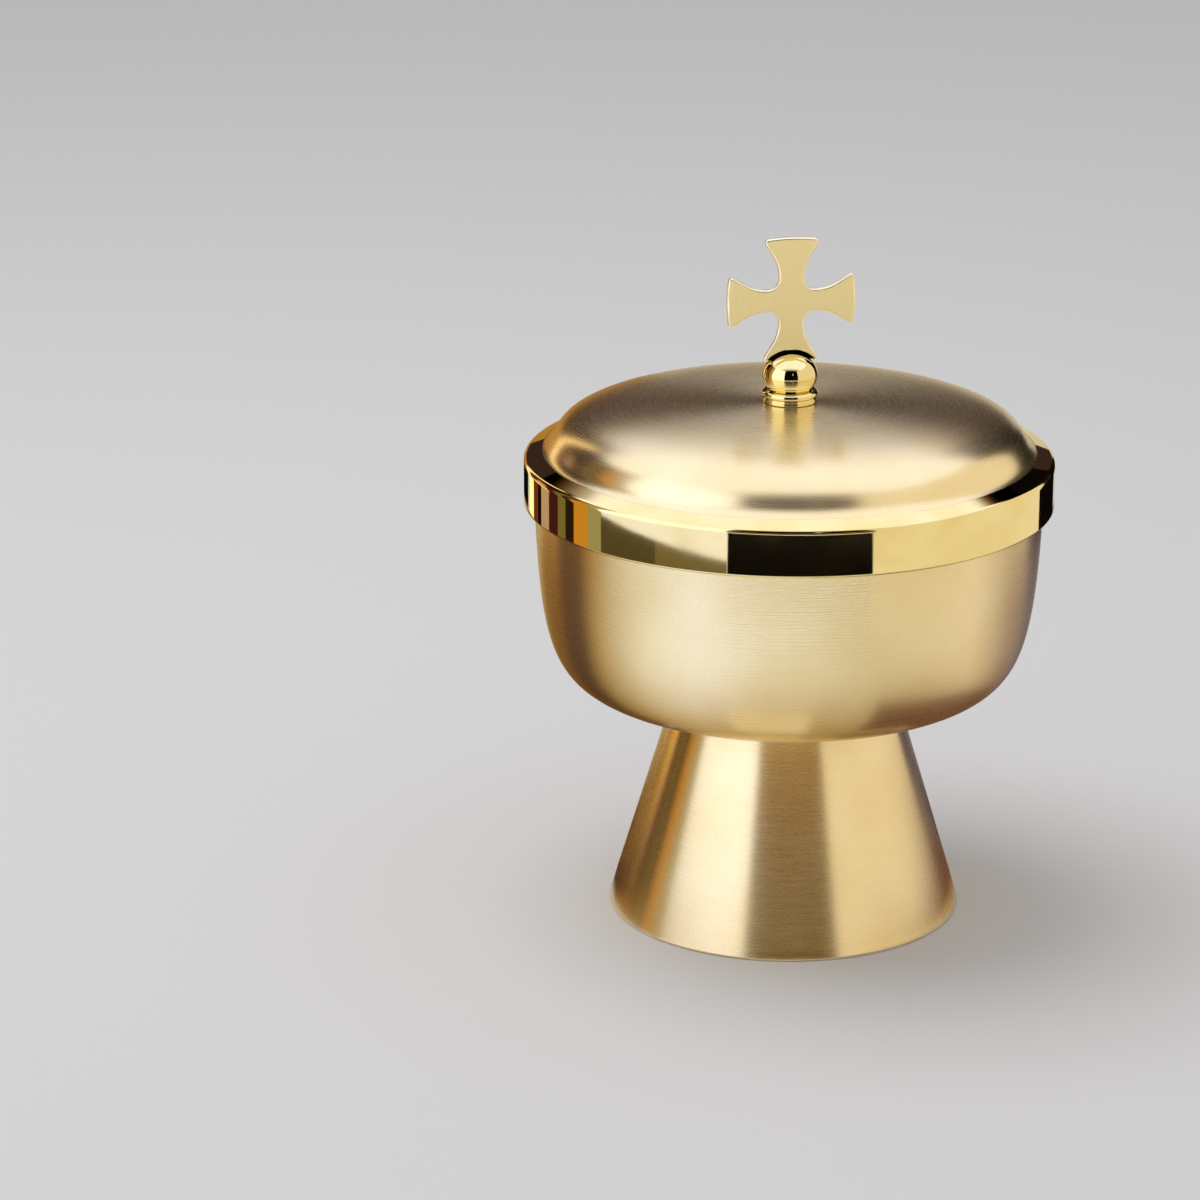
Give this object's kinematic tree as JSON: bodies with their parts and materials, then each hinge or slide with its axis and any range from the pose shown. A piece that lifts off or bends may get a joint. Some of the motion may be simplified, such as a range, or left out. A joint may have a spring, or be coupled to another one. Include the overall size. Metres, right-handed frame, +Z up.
{
  "type": "ciborium",
  "caption": "Low lidded ciborium: wide spun bowl on a plain cone foot, with a domed lid that lifts off by a ball and a flat flared cross.",
  "frame": {"origin": "middle of the ring that the foot stands on", "axes": "+Z up along the axis of the bowl, +X along the crossbar of the cross"},
  "size_m": [0.14, 0.14, 0.1836],
  "materials": {
    "satin_gold": "gold plated, satin brushed round the axis",
    "polished_gold": "gold plated, mirror polished",
    "pale_satin_gold": "gold plated, fine satin",
    "bare_brass": "turned, not plated",
    "spring_steel": "plain"
  },
  "bodies": {
    "base": {"foot_shell": "satin_gold", "bowl_shell": "satin_gold", "bowl_boss": "bare_brass", "tie_stud": "bare_brass", "tie_washer": "bare_brass", "tie_lock_washer": "spring_steel", "tie_nut": "bare_brass"},
    "lid": {"lid_rim_ring": "polished_gold", "lid_locating_ring": "polished_gold", "lid_dome": "satin_gold", "finial_collar": "polished_gold", "finial_ball": "polished_gold", "finial_cross": "pale_satin_gold", "finial_washer": "bare_brass", "finial_screw": "bare_brass"}
  },
  "joints": [
    {"name": "lid_lift", "type": "slide", "parent": "base", "child": "lid", "axis": [0, 0, 1], "range_m": [0, 0.1]}
  ]
}
